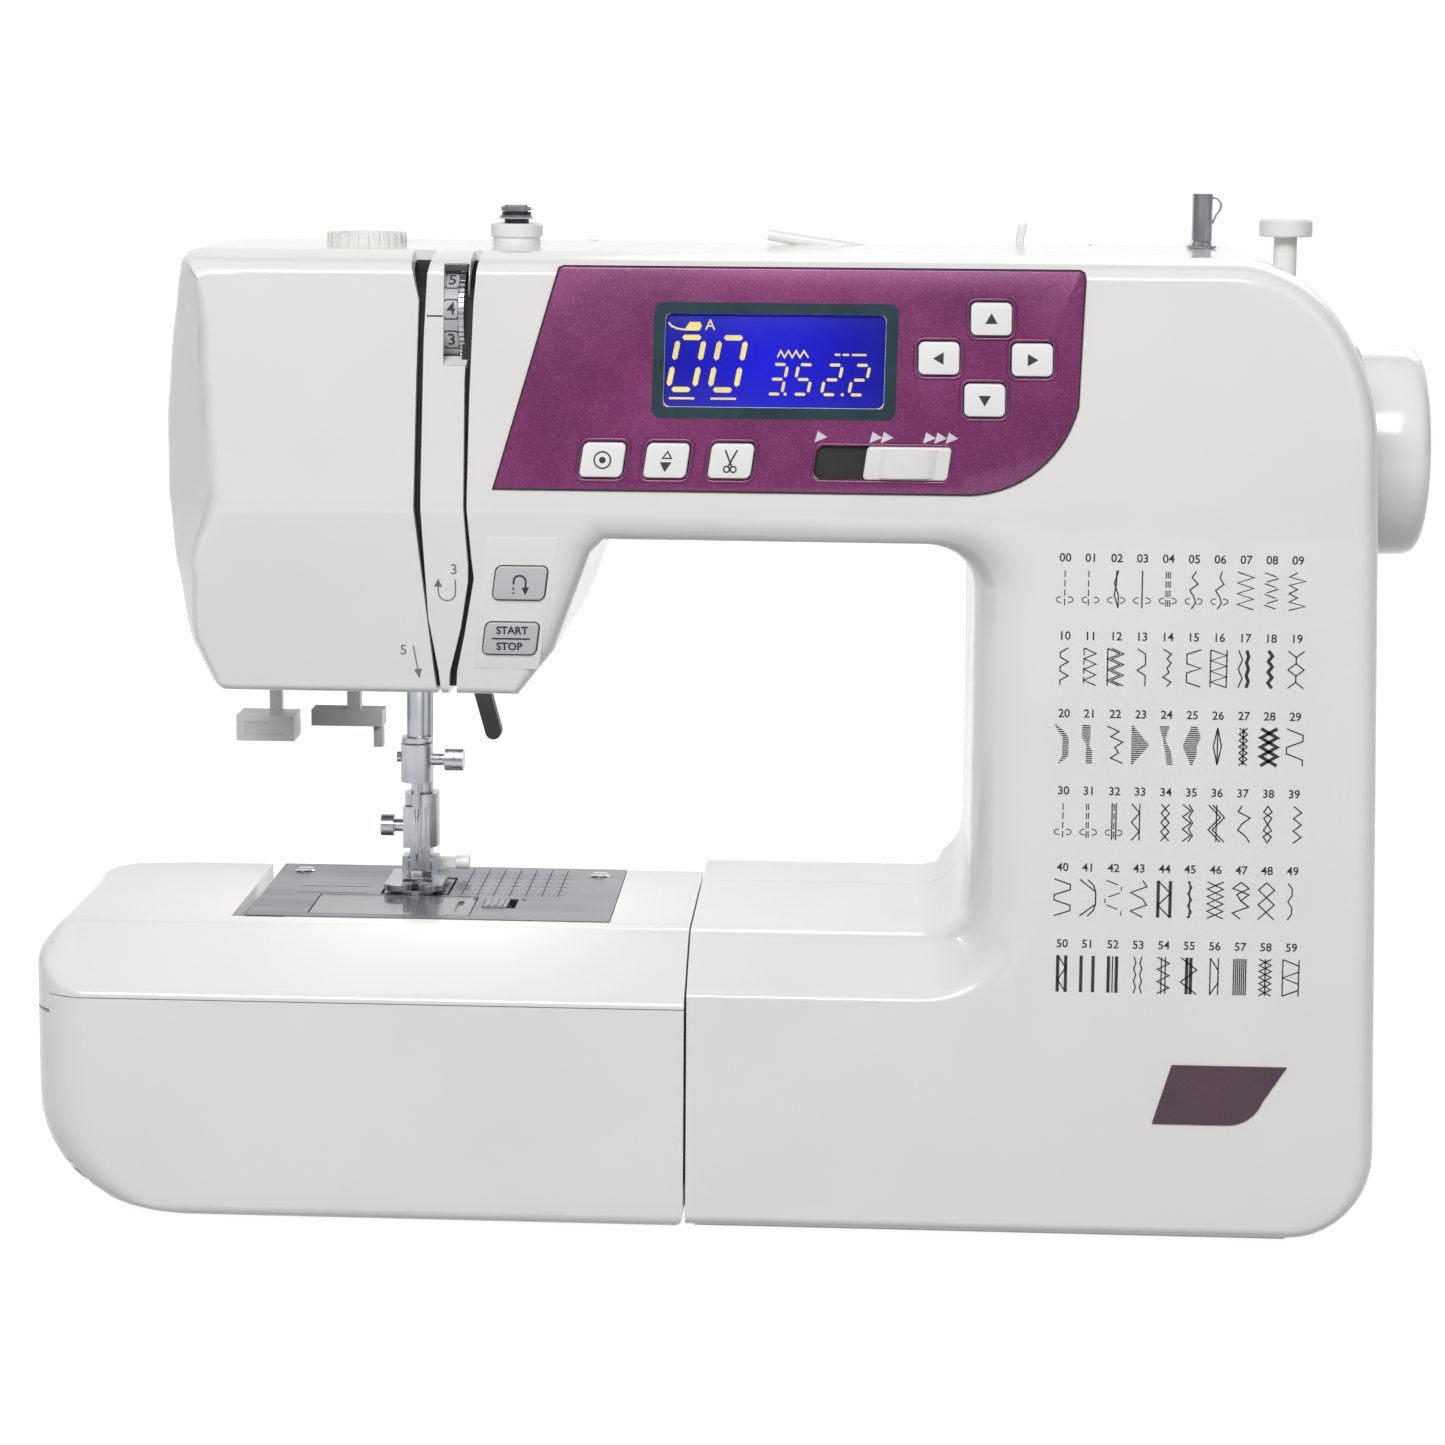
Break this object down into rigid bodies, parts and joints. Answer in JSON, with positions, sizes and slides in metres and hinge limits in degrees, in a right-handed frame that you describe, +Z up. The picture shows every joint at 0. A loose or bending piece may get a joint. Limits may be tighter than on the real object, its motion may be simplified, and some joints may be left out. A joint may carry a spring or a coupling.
{
  "type": "sewing machine",
  "caption": "Computerised free-arm sewing machine with control panel, display, needle and presser foot, handwheel and a slide-off extension table with a storage lid.",
  "frame": {"origin": "middle of the footprint, on the surface that the machine stands on", "axes": "+X towards the handwheel, +Y away from the user, +Z up"},
  "size_m": [0.4124, 0.1642, 0.3031],
  "materials": {
    "body_plastic": "glossy",
    "grey_plastic": "satin",
    "light_grey_plastic": "satin",
    "black_plastic": "satin",
    "panel_film": "metallic flake",
    "badge_film": "glossy",
    "lcd_glass": "glossy",
    "clear_plastic": "glossy",
    "steel": "brushed",
    "chromed_steel": "polished",
    "cast_frame": "cast",
    "motor_steel": "satin",
    "board": "satin",
    "foot_rubber": "matte",
    "belt_rubber": "matte",
    "key_plastic": "glossy"
  },
  "bodies": {
    "machine": {"front_cover": "body_plastic", "rear_cover": "body_plastic", "base_plate": "light_grey_plastic", "chassis": "cast_frame", "free_arm_cover": "body_plastic", "needle_plate": "steel", "control_panel": "panel_film", "lcd_screen": "lcd_glass", "badge_plate": "badge_film", "led_lamp": "clear_plastic", "motor": "motor_steel", "circuit_board": "board", "power_inlet": "black_plastic", "cover_screws": "steel", "rubber_feet": "foot_rubber", "top_guides": "body_plastic", "bobbin_holder": "black_plastic", "timing_belts": "belt_rubber"},
    "main drive": {"handwheel": "body_plastic", "main_shaft": "steel"},
    "motor rotor": {"motor_pulley": "steel"},
    "lower drive": {"lower_shaft": "steel"},
    "hook": {"rotary_hook": "steel"},
    "bobbin": {"bobbin": "clear_plastic"},
    "needle swing frame": {"needle_bar_support": "steel"},
    "needle drive": {"needle_bar": "chromed_steel", "needle_clamp": "chromed_steel", "needle": "chromed_steel"},
    "take-up lever": {"take_up_lever": "steel"},
    "presser": {"presser_bar": "chromed_steel", "foot_holder": "chromed_steel"},
    "presser foot": {"presser_foot": "chromed_steel"},
    "foot release lever": {"foot_lever": "black_plastic"},
    "presser lifter": {"presser_lifter": "black_plastic"},
    "feed carrier": {"feed_bar": "steel"},
    "feed dog": {"feed_dog": "steel"},
    "extension table": {"extension_table": "body_plastic"},
    "table lid": {"table_lid": "body_plastic"},
    "bobbin cover": {"bobbin_cover": "clear_plastic"},
    "cover release": {"cover_release_button": "grey_plastic"},
    "tension dial": {"tension_dial": "steel"},
    "pressure dial": {"pressure_dial": "body_plastic"},
    "spool pin": {"spool_pin": "body_plastic"},
    "winder carriage": {"winder_arm": "light_grey_plastic"},
    "winder spindle": {"winder_spindle": "chromed_steel"},
    "carrying handle": {"carrying_handle": "body_plastic"},
    "up button": {"up_button": "key_plastic"},
    "left button": {"left_button": "key_plastic"},
    "right button": {"right_button": "key_plastic"},
    "down button": {"down_button": "key_plastic"},
    "needle stop button": {"needle_stop_button": "key_plastic"},
    "needle position button": {"needle_position_button": "key_plastic"},
    "thread cutter button": {"thread_cutter_button": "key_plastic"},
    "reverse button": {"reverse_button": "grey_plastic"},
    "start stop button": {"start_stop_button": "grey_plastic"},
    "speed slider": {"speed_slider": "key_plastic"},
    "power switch": {"power_switch": "black_plastic"},
    "buttonhole lever": {"buttonhole_lever": "light_grey_plastic"},
    "needle threader": {"needle_threader": "light_grey_plastic"},
    "drop feed lever": {"drop_feed_lever": "light_grey_plastic"}
  },
  "joints": [
    {"name": "handwheel_spin", "type": "hinge", "parent": "machine", "child": "main drive", "pos_m": [0.197, -0.01086, 0.2265], "axis": [1, 0, 0], "continuous": true},
    {"name": "motor_spin", "type": "hinge", "parent": "machine", "child": "motor rotor", "pos_m": [0.165, 0.02914, 0.1], "axis": [1, 0, 0], "continuous": true},
    {"name": "lower_shaft_spin", "type": "hinge", "parent": "machine", "child": "lower drive", "pos_m": [0, -0.01086, 0.042], "axis": [1, 0, 0], "continuous": true},
    {"name": "hook_spin", "type": "hinge", "parent": "machine", "child": "hook", "pos_m": [-0.1036, -0.03036, 0.05], "axis": [0, 0, 1], "continuous": true},
    {"name": "bobbin_spin", "type": "hinge", "parent": "machine", "child": "bobbin", "pos_m": [-0.1036, -0.03036, 0.07], "axis": [0, 0, 1], "continuous": true},
    {"name": "needle_bar_swing", "type": "hinge", "parent": "machine", "child": "needle swing frame", "pos_m": [-0.0993, -0.01386, 0.275], "axis": [0, 1, 0], "range_deg": [-1.1, 1.1]},
    {"name": "needle_bar_slide", "type": "slide", "parent": "needle swing frame", "child": "needle drive", "axis": [0, 0, 1], "range_m": [-0.03, 0]},
    {"name": "take_up_turn", "type": "hinge", "parent": "machine", "child": "take-up lever", "pos_m": [-0.0927, -0.03286, 0.24], "axis": [1, 0, 0], "range_deg": [0, 65]},
    {"name": "presser_lifter_turn", "type": "hinge", "parent": "machine", "child": "presser lifter", "pos_m": [-0.09, 0.02064, 0.168], "axis": [0, -1, 0], "range_deg": [0, 40]},
    {"name": "presser_bar_slide", "type": "slide", "parent": "machine", "child": "presser", "axis": [0, 0, 1], "range_m": [0, 0.006]},
    {"name": "presser_foot_tilt", "type": "hinge", "parent": "presser", "child": "presser foot", "pos_m": [-0.0993, -0.00486, 0.0924], "axis": [1, 0, 0], "range_deg": [-3, 3]},
    {"name": "foot_lever_press", "type": "hinge", "parent": "presser", "child": "foot release lever", "pos_m": [-0.0943, 0.00464, 0.09], "axis": [1, 0, 0], "range_deg": [0, 8], "stiffness_Nm_per_rad": 0.01},
    {"name": "feed_bar_slide", "type": "slide", "parent": "machine", "child": "feed carrier", "axis": [0, 1, 0], "range_m": [-0.0012, 0.0012]},
    {"name": "feed_dog_drop", "type": "slide", "parent": "feed carrier", "child": "feed dog", "axis": [0, 0, 1], "range_m": [-0.0035, 0.0008]},
    {"name": "extension_table_slide", "type": "slide", "parent": "machine", "child": "extension table", "axis": [-1, 0, 0], "range_m": [0, 0.16]},
    {"name": "table_lid_open", "type": "hinge", "parent": "extension table", "child": "table lid", "pos_m": [-0.105, -0.07386, 0.007], "axis": [1, 0, 0], "range_deg": [0, 55]},
    {"name": "bobbin_cover_lift", "type": "slide", "parent": "machine", "child": "bobbin cover", "axis": [0, 0, 1], "range_m": [0, 0.02]},
    {"name": "cover_release_slide", "type": "slide", "parent": "machine", "child": "cover release", "axis": [1, 0, 0], "range_m": [0, 0.002], "stiffness_N_per_m": 150},
    {"name": "tension_dial_turn", "type": "hinge", "parent": "machine", "child": "tension dial", "pos_m": [-0.0804, -0.05786, 0.268], "axis": [1, 0, 0], "range_deg": [-150, 150]},
    {"name": "pressure_dial_turn", "type": "hinge", "parent": "machine", "child": "pressure dial", "pos_m": [-0.1128, -0.01886, 0.286], "axis": [0, 0, 1], "range_deg": [-150, 150]},
    {"name": "spool_pin_raise", "type": "hinge", "parent": "machine", "child": "spool pin", "pos_m": [0.044, 0.00114, 0.284], "axis": [0, 1, 0], "range_deg": [0, 60]},
    {"name": "winder_shift", "type": "slide", "parent": "machine", "child": "winder carriage", "axis": [1, 0, 0], "range_m": [0, 0.0065]},
    {"name": "winder_spin", "type": "hinge", "parent": "winder carriage", "child": "winder spindle", "pos_m": [0.1396, -0.00386, 0.29], "axis": [0, 0, 1], "continuous": true},
    {"name": "carrying_handle_raise", "type": "hinge", "parent": "machine", "child": "carrying handle", "pos_m": [0.03, 0.01514, 0.279], "axis": [1, 0, 0], "range_deg": [0, 90]},
    {"name": "up_button_press", "type": "slide", "parent": "machine", "child": "up button", "axis": [0, 0.9946, -0.1039], "range_m": [0, 0.001], "stiffness_N_per_m": 300},
    {"name": "left_button_press", "type": "slide", "parent": "machine", "child": "left button", "axis": [0, 0.9946, -0.1039], "range_m": [0, 0.001], "stiffness_N_per_m": 300},
    {"name": "right_button_press", "type": "slide", "parent": "machine", "child": "right button", "axis": [0, 0.9946, -0.1039], "range_m": [0, 0.001], "stiffness_N_per_m": 300},
    {"name": "down_button_press", "type": "slide", "parent": "machine", "child": "down button", "axis": [0, 0.9946, -0.1039], "range_m": [0, 0.001], "stiffness_N_per_m": 300},
    {"name": "needle_stop_button_press", "type": "slide", "parent": "machine", "child": "needle stop button", "axis": [0, 0.9946, -0.1039], "range_m": [0, 0.001], "stiffness_N_per_m": 300},
    {"name": "needle_position_button_press", "type": "slide", "parent": "machine", "child": "needle position button", "axis": [0, 0.9946, -0.1039], "range_m": [0, 0.001], "stiffness_N_per_m": 300},
    {"name": "thread_cutter_button_press", "type": "slide", "parent": "machine", "child": "thread cutter button", "axis": [0, 0.9946, -0.1039], "range_m": [0, 0.001], "stiffness_N_per_m": 300},
    {"name": "reverse_button_press", "type": "slide", "parent": "machine", "child": "reverse button", "axis": [0, 0.9896, 0.1439], "range_m": [0, 0.001], "stiffness_N_per_m": 300},
    {"name": "start_stop_button_press", "type": "slide", "parent": "machine", "child": "start stop button", "axis": [0, 0.9896, 0.1439], "range_m": [0, 0.001], "stiffness_N_per_m": 300},
    {"name": "speed_slider_slide", "type": "slide", "parent": "machine", "child": "speed slider", "axis": [1, 0, 0], "range_m": [-0.0144, 0]},
    {"name": "power_switch_rock", "type": "hinge", "parent": "machine", "child": "power switch", "pos_m": [0.1839, -0.01086, 0.038], "axis": [0, 1, 0], "range_deg": [0, 8]},
    {"name": "buttonhole_lever_slide", "type": "slide", "parent": "machine", "child": "buttonhole lever", "axis": [0, 0, 1], "range_m": [-0.044, 0]},
    {"name": "needle_threader_slide", "type": "slide", "parent": "machine", "child": "needle threader", "axis": [0, 0, 1], "range_m": [-0.022, 0]},
    {"name": "drop_feed_lever_slide", "type": "slide", "parent": "machine", "child": "drop feed lever", "axis": [1, 0, 0], "range_m": [0, 0.01]}
  ],
  "couplings": [
    {"joint": "motor_spin", "follows": "handwheel_spin", "ratio": 4.1667},
    {"joint": "lower_shaft_spin", "follows": "handwheel_spin", "ratio": 1},
    {"joint": "hook_spin", "follows": "handwheel_spin", "ratio": 2},
    {"joint": "take_up_turn", "follows": "needle_bar_slide", "rad_per_m": -37.8},
    {"joint": "presser_lifter_turn", "follows": "presser_bar_slide", "rad_per_m": 116.35},
    {"joint": "feed_dog_drop", "follows": "drop_feed_lever_slide", "ratio": -0.35}
  ]
}
